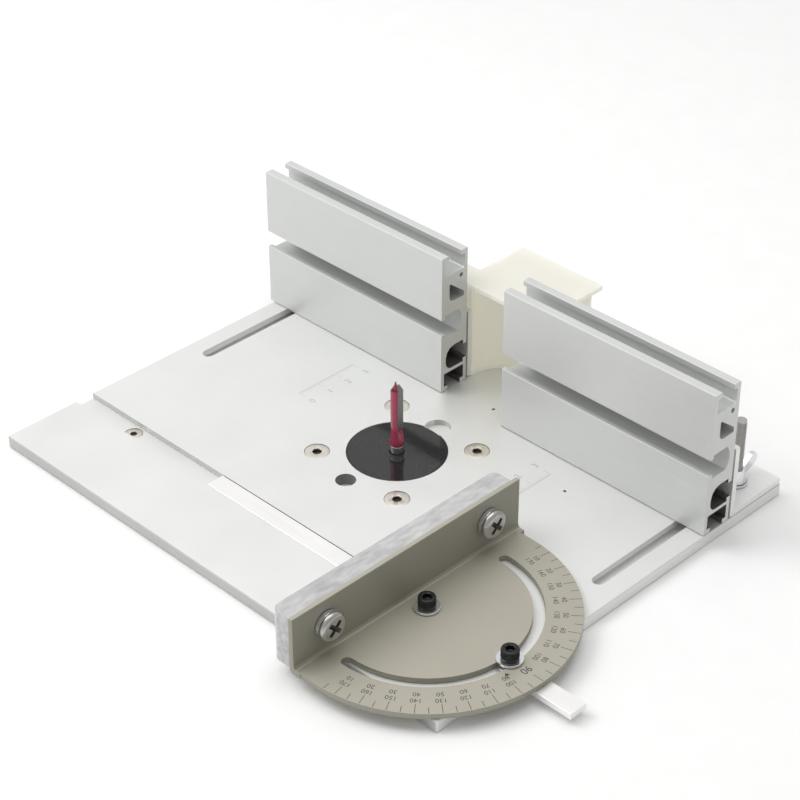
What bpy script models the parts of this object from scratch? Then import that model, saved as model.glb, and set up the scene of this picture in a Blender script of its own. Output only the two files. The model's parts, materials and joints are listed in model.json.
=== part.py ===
"""Bench-top router table: a milled aluminium plate with a split T-slot fence and a swinging miter gauge.

Lengths are in metres. Positions on the table are measured from its front left corner, with X to the
right, Y to the rear and heights from the table's top face. at() turns them into the part's own frame,
whose origin is the middle of the whole object's footprint, on the floor.
"""

import math

import bmesh
import bpy
from mathutils import Vector

MM = 0.001
GAP = 0.3 * MM  # running clearance between pieces that touch

# Table plate
TABLE_WIDTH = 300 * MM
TABLE_DEPTH = 240.5 * MM
TABLE_THICK = 6.3 * MM
TABLE_CORNER = 1.2 * MM
TABLE_EDGE = 0.4 * MM

# Miter channel
CHANNEL_Y = 48.9 * MM
CHANNEL_WIDTH = 10.9 * MM
CHANNEL_DEPTH = 3.4 * MM
CHANNEL_SCREW_X = (39.5 * MM, 260.5 * MM)
CHANNEL_SCREW_RADIUS = 4.5 * MM

# Fence slots through the table
SLOT_X = (14 * MM, 286 * MM)
SLOT_START = 118 * MM
SLOT_END = 231.3 * MM
SLOT_WIDTH = 6.6 * MM
SLOT_RELIEF_WIDTH = 12 * MM
SLOT_RELIEF_DEPTH = 3.2 * MM

# Bit, insert and the screws that hold the router below the table
BIT_X = 148 * MM
BIT_Y = 128.4 * MM
INSERT_RADIUS = 25.2 * MM
INSERT_THICK = 3.4 * MM
INSERT_SEAT_DEPTH = 3.8 * MM
INSERT_BORE = 3.9 * MM
OPENING_RADIUS = 21 * MM
ROUTER_SCREW_SPREAD = 28.1 * MM
ROUTER_SCREW_HEAD = 6.2 * MM
COUNTERSINK_RIM = 0.5 * MM
WRENCH_HOLE_Y = 93.5 * MM
WRENCH_HOLE_RADIUS = 5.2 * MM
NOTCH_Y = 157.5 * MM
NOTCH_RADIUS = 6.7 * MM
NOTCH_DEPTH = 3 * MM
PIN_HOLES = ((157 * MM, 189 * MM), (229.4 * MM, 161.8 * MM))
PIN_RADIUS = 0.9 * MM
BIT_RADIUS = 3.1 * MM
BIT_COLLAR = 3.85 * MM
BIT_TOP = 41 * MM

# Fence extrusion
FENCE_LENGTH = 130 * MM
FENCE_THICK = 18.5 * MM
FENCE_HEIGHT = 79.2 * MM
FENCE_FRONT = 180.6 * MM
FENCE_LEFT_X = -2.2 * MM
FENCE_RIGHT_X = 169.6 * MM
FENCE_SLOT_Z = 18.5 * MM  # middle of the rear T-slot, above the foot of the extrusion
FENCE_LIP = 2.5 * MM

# Angle brackets behind the fences
BRACKET_THICK = 3 * MM
BRACKET_HEIGHT = 40 * MM
BRACKET_FRONT = FENCE_FRONT + FENCE_THICK + 1.5 * MM
BRACKET_REAR = 240 * MM
BOLT_Z = GAP + FENCE_SLOT_Z
OUTER_BOLT_INSET = 36 * MM
SLOT_BOLT_Y = 222 * MM
SLOT_BOLT_TOP = 40 * MM

# Dust guard in the gap
GUARD_X = 148.6 * MM
GUARD_HALF = 25.2 * MM
GUARD_LID_LEFT = 25.6 * MM
GUARD_LID_RIGHT = 29.2 * MM
GUARD_STRIP_HALF = 38 * MM
GUARD_STRIP_REAR = 213.5 * MM
GUARD_WALL = 2.5 * MM
GUARD_RADIUS = 21.8 * MM
GUARD_FOOT_STEP = 0.6 * MM
GUARD_FOOT_HEIGHT = 3.3 * MM
GUARD_FRONT = BRACKET_FRONT + BRACKET_THICK + GAP
GUARD_REAR = 242.5 * MM
GUARD_LID_REAR = 246 * MM
GUARD_TOP = 58 * MM
GUARD_EAR = 26 * MM
GUARD_EAR_TOP = 38 * MM
INNER_BOLT_OFFSET = 45.3 * MM

# M6 hardware
BOLT_RADIUS = 3 * MM
BOLT_HOLE = 3.3 * MM
WASHER_RADIUS = 6 * MM
WASHER_THICK = 1.2 * MM
HEX_NUT_FLAT = 5 * MM
HEX_NUT_THICK = 5 * MM
WING_HUB_RADIUS = 5.2 * MM
WING_HUB_LENGTH = 7 * MM
WING_SPAN = 14.6 * MM
WING_TOP = 10 * MM
WING_THICK = 2.4 * MM

# Miter gauge
BAR_START = 102 * MM
BAR_END = 337 * MM
BAR_WIDTH = 10.3 * MM
PIVOT_X = 246.5 * MM
LOCK_RADIUS = 50.6 * MM
SWING_LIMIT = 89
PROTRACTOR_RADIUS = 70.6 * MM
PROTRACTOR_THICK = 2.8 * MM
FLANGE_FACE = -11.5 * MM
FLANGE_THICK = 2.5 * MM
FLANGE_MIDDLE = 1.15 * MM  # the flange's middle, behind the pivot
FLANGE_HALF = 72.05 * MM
FLANGE_TOP = 30.7 * MM
CAP_SCREW_RADIUS = 2.5 * MM
CAP_SCREW_HOLE = 2.8 * MM
CAP_HEAD_RADIUS = 4.25 * MM
CAP_HEAD_HEIGHT = 5 * MM
CAP_SOCKET = 2 * MM
GAUGE_WASHER_RADIUS = 6.3 * MM
PAD_THICK = 12.4 * MM
PAD_MIDDLE = 1.3 * MM  # the pad's middle, behind the pivot
PAD_HALF = 70.6 * MM
PAD_BOTTOM = 0.5 * MM
PAD_TOP = 28.6 * MM
PAD_CORNER = 4 * MM
PAD_SCREW_MIDDLE = 0.6 * MM
PAD_SCREW_Y = 51.4 * MM
PAD_SCREW_Z = 17.6 * MM
PAD_SCREW_HEAD = 7.3 * MM
PAD_SCREW_HEAD_THICK = 3 * MM
SPRING_WASHER_THICK = 2.2 * MM

ROUND = 24  # sides of small round pieces
ROUND_LARGE = 48

FOOTPRINT_X = (FENCE_LEFT_X + BAR_END) / 2
FOOTPRINT_Y = (CHANNEL_Y + FLANGE_MIDDLE - FLANGE_HALF + GUARD_LID_REAR) / 2


def at(x, y, z):
    """A place on the table, with z above its top face, in the part's own frame."""
    return Vector((x - FOOTPRINT_X, y - FOOTPRINT_Y, z + TABLE_THICK))


def material(name, colour, metallic, roughness, alpha=1.0):
    made = bpy.data.materials.new(name)
    made.use_nodes = True
    shader = made.node_tree.nodes["Principled BSDF"]
    shader.inputs["Base Color"].default_value = (*colour, 1)
    shader.inputs["Metallic"].default_value = metallic
    shader.inputs["Roughness"].default_value = roughness
    shader.inputs["Alpha"].default_value = alpha
    return made


# Outlines


def circle(radius, count=ROUND, centre=(0, 0)):
    steps = [2 * math.pi * i / count for i in range(count)]
    return [(centre[0] + radius * math.cos(a), centre[1] + radius * math.sin(a)) for a in steps]


def polygon_on_rays(sides, flat, count=ROUND):
    """A regular polygon with the given distance to its flats, as points on the same rays as circle()."""
    half = math.pi / sides
    points = []
    for i in range(count):
        angle = 2 * math.pi * i / count
        reach = flat / math.cos((angle + half) % (2 * half) - half)
        points.append((reach * math.cos(angle), reach * math.sin(angle)))
    return points


def arc(centre, radius, start, end, steps):
    """Points along an arc, with angles in degrees and both ends included."""
    angles = [math.radians(start + (end - start) * i / steps) for i in range(steps + 1)]
    return [(centre[0] + radius * math.cos(a), centre[1] + radius * math.sin(a)) for a in angles]


def rounded(corners, steps=4):
    """An outline whose corners are given as (x, y, radius)."""
    points = []
    count = len(corners)
    for i, (x, y, radius) in enumerate(corners):
        here = Vector((x, y))
        if not radius:
            points.append((x, y))
            continue
        before = (Vector(corners[i - 1][:2]) - here).normalized()
        after = (Vector(corners[(i + 1) % count][:2]) - here).normalized()
        half = before.angle(after) / 2
        centre = here + (before + after).normalized() * radius / math.sin(half)
        first = here + before * radius / math.tan(half) - centre
        turn = (here + after * radius / math.tan(half) - centre).angle_signed(first)
        for step in range(steps + 1):
            angle = turn * step / steps
            turned = Vector(
                (
                    first.x * math.cos(angle) - first.y * math.sin(angle),
                    first.x * math.sin(angle) + first.y * math.cos(angle),
                )
            )
            points.append(tuple(centre + turned))
    return points


def rectangle(x0, y0, x1, y1, radius=0.0, steps=4):
    return rounded([(x0, y0, radius), (x1, y0, radius), (x1, y1, radius), (x0, y1, radius)], steps)


def stadium(x, y0, y1, width, steps=8):
    """A round-ended slot along Y, from end to end."""
    half = width / 2
    near = arc((x, y0 + half), half, 180, 360, steps)
    far = arc((x, y1 - half), half, 0, 180, steps)
    return near + far


# Solids


def add_object(name, mesh_data, made_of, origin):
    mesh = bpy.data.meshes.new(name)
    mesh_data.to_mesh(mesh)
    mesh_data.free()
    thing = bpy.data.objects.new(name, mesh)
    thing.location = origin
    bpy.context.scene.collection.objects.link(thing)
    if made_of:
        mesh.materials.append(made_of)
    return thing


def skin(mesh_data, sections, closed):
    """Faces between neighbouring sections of equal count, capped at both ends or joined into a ring."""
    rings = [[mesh_data.verts.new(point) for point in section] for section in sections]
    pairs = list(zip(rings, rings[1:]))
    if closed:
        pairs.append((rings[-1], rings[0]))
    for lower, upper in pairs:
        for i, corner in enumerate(lower):
            following = (i + 1) % len(lower)
            mesh_data.faces.new((corner, lower[following], upper[following], upper[i]))
    if not closed:
        mesh_data.faces.new(list(reversed(rings[0])))
        mesh_data.faces.new(rings[-1])


AXES = {
    "x": lambda u, v, w: Vector((w, u, v)),
    "y": lambda u, v, w: Vector((v, w, u)),
    "z": lambda u, v, w: Vector((u, v, w)),
}


def solid(name, bodies, made_of=None, origin=(0, 0, 0), closed=False, smooth=False):
    """An object from bodies, each an (axis, [(outline, height), ...]) stack."""
    mesh_data = bmesh.new()
    for axis, stack in bodies:
        place = AXES[axis]
        skin(mesh_data, [[place(u, v, w) for u, v in outline] for outline, w in stack], closed)
    bmesh.ops.recalc_face_normals(mesh_data, faces=mesh_data.faces)
    for face in mesh_data.faces:
        face.smooth = smooth and len(face.verts) == 4
    return add_object(name, mesh_data, made_of, Vector(origin))


def shift(outline, x, y):
    return [(u + x, v + y) for u, v in outline]


def prism(outline, low, high, axis="z"):
    return (axis, [(outline, low), (outline, high)])


def combine(target, other, operation):
    """Cuts the target with a hidden solid, or joins the solid to it."""
    other.hide_render = True
    other.display_type = "WIRE"
    modifier = target.modifiers.new(operation.lower(), "BOOLEAN")
    modifier.operation = operation
    modifier.solver = "EXACT"
    modifier.object = other


def cut(target, bodies):
    cutter = solid(f"{target.name}_cut_{len(target.modifiers)}", bodies, None, target.location)
    combine(target, cutter, "DIFFERENCE")


def join(target, bodies):
    extra = solid(f"{target.name}_part_{len(target.modifiers)}", bodies, None, target.location)
    combine(target, extra, "UNION")


# Table


def build_table(made_of):
    corner = at(0, 0, -TABLE_THICK)
    outline = rectangle(0, 0, TABLE_WIDTH, TABLE_DEPTH, TABLE_CORNER)
    eased = rectangle(
        TABLE_EDGE, TABLE_EDGE, TABLE_WIDTH - TABLE_EDGE, TABLE_DEPTH - TABLE_EDGE, TABLE_CORNER - TABLE_EDGE
    )
    stack = [(eased, 0), (outline, TABLE_EDGE), (outline, TABLE_THICK - TABLE_EDGE), (eased, TABLE_THICK)]
    table = solid("table_plate", [("z", stack)], made_of, corner)
    over = TABLE_THICK + MM
    cut(table, table_openings(over))
    floor = TABLE_THICK - CHANNEL_DEPTH
    near = CHANNEL_Y - CHANNEL_WIDTH / 2
    far = CHANNEL_Y + CHANNEL_WIDTH / 2
    cut(table, [prism(rectangle(-MM, near, TABLE_WIDTH + MM, far), floor, over)])
    notch = prism(shift(circle(NOTCH_RADIUS), BIT_X, NOTCH_Y), TABLE_THICK - NOTCH_DEPTH, over)
    cut(table, [notch, *channel_screw_holes(floor)])
    return table


def table_openings(over):
    """The fence slots, the insert's seat, the wrench hole, the router screws' holes and the pin holes."""
    seat = TABLE_THICK - INSERT_SEAT_DEPTH
    insert = [(OPENING_RADIUS, -MM), (OPENING_RADIUS, seat), (INSERT_RADIUS + GAP, seat)]
    insert.append((INSERT_RADIUS + GAP, over))
    bodies = [("z", [(shift(circle(r, ROUND_LARGE), BIT_X, BIT_Y), z) for r, z in insert])]
    for x in SLOT_X:
        wide = stadium(x, SLOT_START - 3 * MM, SLOT_END + 3 * MM, SLOT_RELIEF_WIDTH)
        narrow = stadium(x, SLOT_START, SLOT_END, SLOT_WIDTH)
        relief = SLOT_RELIEF_DEPTH
        bodies.append(("z", [(wide, -MM), (wide, relief), (narrow, relief), (narrow, over)]))
    bodies.append(prism(shift(circle(WRENCH_HOLE_RADIUS), BIT_X - MM / 2, WRENCH_HOLE_Y), -MM, over))
    head = ROUTER_SCREW_HEAD + GAP
    rim = TABLE_THICK - COUNTERSINK_RIM
    cone = [(BOLT_HOLE, -MM), (BOLT_HOLE, rim - head + BOLT_HOLE), (head, rim), (head, over)]
    for x, y in router_screw_places():
        bodies.append(("z", [(shift(circle(r), x, y), z) for r, z in cone]))
    for x, y in PIN_HOLES:
        bodies.append(prism(shift(circle(PIN_RADIUS, 12), x, y), TABLE_THICK - 3 * MM, over))
    return bodies


def channel_screw_holes(floor):
    wide = CHANNEL_SCREW_RADIUS + GAP
    rim = floor - COUNTERSINK_RIM
    tip = wide - rim
    cone = [(tip, -MM), (tip, 0), (wide, rim), (wide, floor + MM)]
    return [
        ("z", [(shift(circle(r), x, CHANNEL_Y), z) for r, z in cone]) for x in CHANNEL_SCREW_X
    ]


def router_screw_places():
    reach = ROUTER_SCREW_SPREAD
    return [(BIT_X + sx * reach, BIT_Y + sy * reach) for sy in (-1, 1) for sx in (-1, 1)]


def build_insert(made_of):
    bottom = GAP - INSERT_SEAT_DEPTH
    edge = 0.3 * MM
    outer = [(INSERT_RADIUS, 0), (INSERT_RADIUS, INSERT_THICK - edge), (INSERT_RADIUS - edge, INSERT_THICK)]
    inner = [(INSERT_BORE, INSERT_THICK), (INSERT_BORE, 0)]
    stack = [(circle(r, ROUND_LARGE), z) for r, z in outer + inner]
    return solid("insert_disc", [("z", stack)], made_of, at(BIT_X, BIT_Y, bottom), closed=True)


def build_countersunk_screw(name, x, y, top, bottom, head, shank, socket, made_of):
    """A flat-head screw with a hex socket, its head's face at height top."""
    cone_end = max(top - (head - shank), bottom + 0.05 * MM)
    socket_floor = top - min(2.4 * MM, (top - bottom) * 0.6)
    stack = [
        (polygon_on_rays(6, socket), socket_floor),
        (polygon_on_rays(6, socket), top),
        (circle(head - 0.3 * MM), top),
        (circle(head), top - 0.3 * MM),
        (circle(shank), cone_end),
        (circle(shank), bottom),
    ]
    return solid(name, [("z", stack)], made_of, at(x, y, 0))


def build_bit(made_of):
    """A straight two-flute cutter: shank, painted collar and fluted body with a narrower tip."""
    shank = 3.17 * MM
    bottom = GAP - TABLE_THICK
    stack = [
        (circle(shank), bottom),
        (circle(shank), 3.6 * MM),
        (circle(BIT_COLLAR), 4.2 * MM),
        (circle(BIT_COLLAR), 5.5 * MM),
        (fluted(BIT_RADIUS, 1), 8.5 * MM),
        (fluted(BIT_RADIUS, 0.55), 11 * MM),
        (fluted(BIT_RADIUS, 0.55), 37.2 * MM),
        (fluted(BIT_RADIUS * 0.6, 0.7), BIT_TOP),
    ]
    return solid("router_bit", [("z", stack)], made_of, at(BIT_X, BIT_Y, 0))


def fluted(radius, waist):
    """A round section with two flutes that narrow it to waist times its radius."""
    points = []
    for i in range(ROUND):
        angle = 2 * math.pi * i / ROUND
        flute = max(0.0, math.sin(angle)) ** 2 if math.sin(angle) > 0 else math.sin(angle) ** 2
        reach = radius * (1 - (1 - waist) * flute)
        points.append((reach * math.cos(angle), reach * math.sin(angle)))
    return points


# Fence


def fence_outline():
    """The extrusion's section, from its front face and foot, with T-slots on all four sides."""
    wall = 2.2
    back = FENCE_THICK / MM
    top = FENCE_HEIGHT / MM
    rear = back - wall
    front_slot = [(0, 34.3, 0.4), (2.5, 34.3, 0), (2.5, 32.2, 0)]
    front_slot += [(y, z, 0) for y, z in arc((5, 38.8), 10, -41, 41, 8)]
    front_slot += [(2.5, 45.4, 0), (2.5, 43.3, 0), (0, 43.3, 0.4)]
    top_slot = [(0, top, 0.4), (5, top, 0.4), (5, 76.4, 0), (wall, 76.4, 0), (wall, 68.2, 1)]
    top_slot += [(rear, 68.2, 1), (rear, 76.4, 0), (14, 76.4, 0), (14, top, 0.4), (back, top, 0.4)]
    rear_slot = [(back, 22.8, 0), (16, 22.8, 0), (16, 25.3, 0), (3.4, 25.3, 6), (3.4, 12.1, 4)]
    rear_slot += [(16, 12.1, 0), (16, 14.2, 0), (back, 14.2, 0)]
    foot = [(back, 0, 0.4), (14, 0, 0), (14, 2.6, 0), (rear, 2.6, 0), (rear, 10.2, 0)]
    foot += [(wall, 10.2, 0), (wall, 2.6, 0), (4.6, 2.6, 0), (4.6, 0, 0), (0, 0, 0.4)]
    corners = front_slot + top_slot + rear_slot + foot
    return rounded([(y * MM, z * MM, r * MM) for y, z, r in corners], steps=3)


def build_fence(name, start, made_of):
    origin = at(start, FENCE_FRONT, GAP)
    fence = solid(name, [prism(fence_outline(), 0, FENCE_LENGTH, "x")], made_of, origin)
    corners = [(5.6, 51.9, 3), (16.3, 51.9, 0.6), (16.3, 54.6, 0.6), (5.6, 63, 0.6)]
    chamber = rounded([(y * MM, z * MM, r * MM) for y, z, r in corners], steps=3)
    screw_hole = circle(1.3 * MM, 12, (14 * MM, 65 * MM))
    past = FENCE_LENGTH + MM
    cut(fence, [prism(chamber, -MM, past, "x"), prism(screw_hole, -MM, past, "x")])
    return fence


def bracket_span(side):
    """The ends of a bracket's upright leg, then of its foot, which stops short of the guard."""
    if side == "left":
        return FENCE_LEFT_X, 127.5 * MM, FENCE_LEFT_X, GUARD_X - GUARD_HALF - 2 * MM
    end = FENCE_RIGHT_X + FENCE_LENGTH
    return FENCE_RIGHT_X + GAP, end, GUARD_X + GUARD_HALF + 2 * MM, end


def bolt_places(side):
    """The fence bolts' places along X, the outer one first."""
    if side == "left":
        return FENCE_LEFT_X + OUTER_BOLT_INSET, GUARD_X - INNER_BOLT_OFFSET
    return FENCE_RIGHT_X + FENCE_LENGTH - OUTER_BOLT_INSET, GUARD_X + INNER_BOLT_OFFSET


def build_bracket(side, made_of):
    left, right, foot_left, foot_right = bracket_span(side)
    slot_x = SLOT_X[0] if side == "left" else SLOT_X[1]
    origin = at(slot_x, SLOT_BOLT_Y, 0)
    left, right, foot_left, foot_right = (x - slot_x for x in (left, right, foot_left, foot_right))
    front = BRACKET_FRONT - SLOT_BOLT_Y
    rear = BRACKET_REAR - SLOT_BOLT_Y
    upright = rectangle(GAP, left, BRACKET_HEIGHT + GAP, right, 0.8 * MM, 2)
    bracket = solid(
        f"fence_bracket_{side}", [prism(upright, front, front + BRACKET_THICK, "y")], made_of, origin
    )
    foot = rectangle(foot_left, front + MM, foot_right, rear, 0.4 * MM, 2)
    join(bracket, [prism(foot, GAP, GAP + BRACKET_THICK)])
    past = front + BRACKET_THICK + MM
    holes = [
        prism(circle(BOLT_HOLE, ROUND, (BOLT_Z, x - slot_x)), front - MM, past, "y")
        for x in bolt_places(side)
    ]
    holes.append(prism(circle(BOLT_HOLE + 0.1 * MM), -MM, 2 * BRACKET_THICK))
    cut(bracket, holes)
    return bracket


def build_guard(made_of):
    """A hollow guard behind the bit: a round bay in front, a lid on top, an ear on each side, open below."""
    origin = at(GUARD_X, GUARD_FRONT, 0)
    depth = GUARD_REAR - GUARD_FRONT
    lid_bottom = GUARD_TOP - GUARD_WALL

    block = rectangle(-GUARD_HALF, 0, GUARD_HALF, depth)
    guard = solid("dust_guard", [prism(block, GAP, GUARD_TOP - MM)], made_of, origin)
    cut(guard, [prism(bay(GUARD_RADIUS - GUARD_FOOT_STEP), -MM, GUARD_TOP)])
    cut(guard, [prism(bay(GUARD_RADIUS), GUARD_FOOT_HEIGHT, GUARD_TOP)])
    inner = GUARD_HALF - GUARD_WALL
    reach = GUARD_RADIUS + GUARD_WALL
    turn = math.degrees(math.acos(inner / reach))
    hollow = arc((0, 0), reach, 180 - turn, turn, 16)
    hollow += [(inner, depth - GUARD_WALL), (-inner, depth - GUARD_WALL)]
    cut(guard, [prism(hollow, -MM, lid_bottom)])
    lid_front = FENCE_FRONT + FENCE_THICK + 0.4 * MM - GUARD_FRONT
    join(guard, [prism(lid_outline(lid_front), lid_bottom, GUARD_TOP)])
    join(guard, [guard_ear(-1), guard_ear(1)])
    holes = [
        prism(circle(BOLT_HOLE, ROUND, (BOLT_Z, side * INNER_BOLT_OFFSET)), -MM, GUARD_WALL + MM, "y")
        for side in (-1, 1)
    ]
    cut(guard, holes)
    return guard


def bay(radius):
    """The round recess in the guard's front, running out past its front face."""
    past = -10 * MM
    return [(-radius, past), *arc((0, 0), radius, 180, 0, 20), (radius, past)]


def lid_outline(front):
    """The lid from above: a wide strip along its front and a narrower part behind it."""
    strip = GUARD_STRIP_REAR - GUARD_FRONT
    rear = GUARD_LID_REAR - GUARD_FRONT
    return rounded(
        [
            (-GUARD_STRIP_HALF, front, 0.5 * MM),
            (GUARD_STRIP_HALF, front, 0.5 * MM),
            (GUARD_STRIP_HALF, strip, 2 * MM),
            (GUARD_LID_RIGHT, strip, 0),
            (GUARD_LID_RIGHT, rear, 0.5 * MM),
            (-GUARD_LID_LEFT, rear, 0.5 * MM),
            (-GUARD_LID_LEFT, strip, 0),
            (-GUARD_STRIP_HALF, strip, 2 * MM),
        ],
        2,
    )


def guard_ear(side):
    """A flat ear for the inner T-bolt, up to the lid's strip where it lies under it."""
    near = side * (GUARD_HALF - MM)
    step = side * (GUARD_STRIP_HALF - MM)
    far = side * (GUARD_HALF + GUARD_EAR)
    bottom = BRACKET_THICK + 3 * GAP
    top = GUARD_TOP - MM
    low_top = GUARD_EAR_TOP
    corners = [(bottom, near, 0), (top, near, 0), (top, step, 0), (low_top, step, 0)]
    corners += [(low_top, far, 1.5 * MM), (bottom, far, 1.5 * MM)]
    return prism(rounded(corners, 3), 0.05 * MM, GUARD_WALL, "y")


# Hardware


def build_fence_bolt(name, x, length, made_of):
    """A T-bolt along +Y: its head runs in the fence's rear T-slot."""
    head = rectangle_on_rays(6.3 * MM, 4 * MM)
    head_end = FENCE_THICK - FENCE_LIP - GAP
    stack = [(head, head_end - 4 * MM), (head, head_end), (circle(BOLT_RADIUS), head_end)]
    stack += [(circle(BOLT_RADIUS), length - 0.5 * MM), (circle(BOLT_RADIUS - 0.5 * MM), length)]
    return solid(name, [("y", stack)], made_of, at(x, FENCE_FRONT, BOLT_Z))


def rectangle_on_rays(half_u, half_v):
    """A rectangle as points on the same rays as circle()."""
    points = []
    for i in range(ROUND):
        angle = 2 * math.pi * i / ROUND
        u, v = math.cos(angle), math.sin(angle)
        reach = min(half_u / max(abs(u), 1e-9), half_v / max(abs(v), 1e-9))
        points.append((reach * u, reach * v))
    return points


def build_washer(name, axis, centre, low, radius, made_of, bore=BOLT_HOLE):
    high = low + WASHER_THICK
    sections = [(radius, low), (radius, high), (bore, high), (bore, low)]
    return solid(name, [(axis, [(circle(r), z) for r, z in sections])], made_of, centre, closed=True)


def build_hex_nut(name, axis, centre, low, made_of):
    """An M6 nut whose lower face is at low along the axis."""
    high = low + HEX_NUT_THICK
    bore = circle(BOLT_RADIUS + 0.2 * MM)
    flats = polygon_on_rays(6, HEX_NUT_FLAT)
    stack = [(flats, low), (flats, high), (bore, high), (bore, low)]
    return solid(name, [(axis, stack)], made_of, centre, closed=True)


def build_wing_nut(side, x, made_of):
    """A wing nut on the upright slot bolt, with one wing pointing to the rear."""
    low = GAP + BRACKET_THICK + GAP + WASHER_THICK + GAP
    hub = [(WING_HUB_RADIUS, 0), (WING_HUB_RADIUS - 1.2 * MM, WING_HUB_LENGTH)]
    bore = [(BOLT_RADIUS + 0.2 * MM, WING_HUB_LENGTH), (BOLT_RADIUS + 0.2 * MM, 0)]
    stack = [(circle(r), h) for r, h in hub + bore]
    nut = solid(f"wing_nut_{side}", [("z", stack)], made_of, at(x, SLOT_BOLT_Y, low), closed=True)
    join(nut, [wing_body(1), wing_body(-1)])
    return nut


def wing_body(direction):
    """One wing, drawn in Y and Z and thickened along X."""
    root = 4.2 * MM
    corners = [
        (root, 0.8 * MM, 0),
        (WING_HUB_RADIUS + MM, 0.8 * MM, MM),
        (WING_SPAN, 4.6 * MM, 3 * MM),
        (WING_SPAN, WING_TOP, 2.2 * MM),
        (WING_SPAN - 4 * MM, WING_TOP, 2 * MM),
        (root, 5.4 * MM, 0),
    ]
    outline = rounded([(direction * y, z, r) for y, z, r in corners], steps=3)
    return prism(outline, -WING_THICK / 2, WING_THICK / 2, "x")


def build_slot_bolt(side, x, made_of):
    """A square-head bolt held in the slot's relief under the table and standing up through the foot."""
    bottom = GAP - TABLE_THICK
    head = rectangle_on_rays(5.7 * MM, 5.5 * MM)
    head_top = bottom + 2.6 * MM
    top = SLOT_BOLT_TOP
    stack = [(head, bottom), (head, head_top), (circle(BOLT_RADIUS), head_top)]
    stack += [(circle(BOLT_RADIUS), top - 0.5 * MM), (circle(BOLT_RADIUS - 0.5 * MM), top)]
    return solid(f"slot_bolt_{side}", [("z", stack)], made_of, at(x, SLOT_BOLT_Y, 0))


# Miter gauge


def build_bar(made_of):
    origin = at(PIVOT_X, CHANNEL_Y, 0)
    half = BAR_WIDTH / 2
    bottom = GAP - CHANNEL_DEPTH
    edge = 0.3 * MM
    section = rounded(
        [(-half, bottom, 0), (half, bottom, 0), (half, 0, edge), (-half, 0, edge)], steps=1
    )
    bar = solid("miter_bar", [prism(section, BAR_START - PIVOT_X, BAR_END - PIVOT_X, "x")], made_of, origin)
    hole = CAP_SCREW_RADIUS + 0.2 * MM
    holes = [prism(circle(hole, ROUND, (x, 0)), bottom - MM, MM) for x in (0, LOCK_RADIUS)]
    cut(bar, holes)
    return bar


def build_cap_screw(name, x, made_of):
    """A socket cap screw standing in the bar, its head clear above the washer."""
    seat = GAP + PROTRACTOR_THICK + GAP + WASHER_THICK + GAP
    top = seat + CAP_HEAD_HEIGHT
    stack = [
        (polygon_on_rays(6, CAP_SOCKET), top - 2.5 * MM),
        (polygon_on_rays(6, CAP_SOCKET), top),
        (circle(CAP_HEAD_RADIUS - 0.4 * MM), top),
        (circle(CAP_HEAD_RADIUS), top - 0.4 * MM),
        (circle(CAP_HEAD_RADIUS), seat),
        (circle(CAP_SCREW_RADIUS), seat),
        (circle(CAP_SCREW_RADIUS), 2 * GAP - CHANNEL_DEPTH),
    ]
    return solid(name, [("z", stack)], made_of, at(x, CHANNEL_Y, 0))


def build_protractor(made_of):
    """A half-disc with an arc slot about the pivot, folded up into a flange along its straight side."""
    low = GAP
    high = GAP + PROTRACTOR_THICK
    origin = at(PIVOT_X, CHANNEL_Y, 0)
    back = FLANGE_FACE + 3 * MM
    half_disc = arc((0, 0), PROTRACTOR_RADIUS, -90, 90, 48)
    half_disc += [(back, PROTRACTOR_RADIUS), (back, -PROTRACTOR_RADIUS)]
    plate = solid("protractor", [prism(half_disc, low, high)], made_of, origin)
    outer_face = FLANGE_FACE - FLANGE_THICK
    fold = rounded(
        [
            (low, back + MM, 0),
            (high, back + MM, 0),
            (high, FLANGE_FACE, 2 * MM),
            (FLANGE_TOP, FLANGE_FACE, 0.4 * MM),
            (FLANGE_TOP, outer_face, 0.4 * MM),
            (low, outer_face, 2.5 * MM),
        ],
        steps=3,
    )
    join(plate, [prism(fold, FLANGE_MIDDLE - FLANGE_HALF, FLANGE_MIDDLE + FLANGE_HALF, "y")])
    hole_z = circle(CAP_SCREW_HOLE, ROUND)
    slot_half = CAP_SCREW_HOLE
    slot = arc((0, 0), LOCK_RADIUS - slot_half, -SWING_LIMIT, SWING_LIMIT, 40)
    slot += slot_end(SWING_LIMIT, slot_half)
    slot += arc((0, 0), LOCK_RADIUS + slot_half, SWING_LIMIT, -SWING_LIMIT, 40)
    slot += slot_end(-SWING_LIMIT, slot_half)
    cut(plate, [prism(hole_z, -MM, high + MM), prism(slot, -MM, high + MM)])
    holes = [
        prism(circle(BOLT_HOLE, ROUND, (y, PAD_SCREW_Z)), outer_face - MM, FLANGE_FACE + MM, "x")
        for y in pad_screw_places()
    ]
    cut(plate, holes)
    return plate


def slot_end(angle, half):
    """The round end of the arc slot, without its first and last points."""
    middle = (LOCK_RADIUS * math.cos(math.radians(angle)), LOCK_RADIUS * math.sin(math.radians(angle)))
    if angle > 0:
        return arc(middle, half, angle + 180, angle, 6)[1:-1]
    return arc(middle, half, angle, angle - 180, 6)[1:-1]


def pad_screw_places():
    """The pan screws' distances behind the pivot, the front one first."""
    return PAD_SCREW_MIDDLE - PAD_SCREW_Y, PAD_SCREW_MIDDLE + PAD_SCREW_Y


def pad_face():
    """The face of the pad that meets the flange, along X from the pivot."""
    return FLANGE_FACE - FLANGE_THICK - GAP


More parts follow.
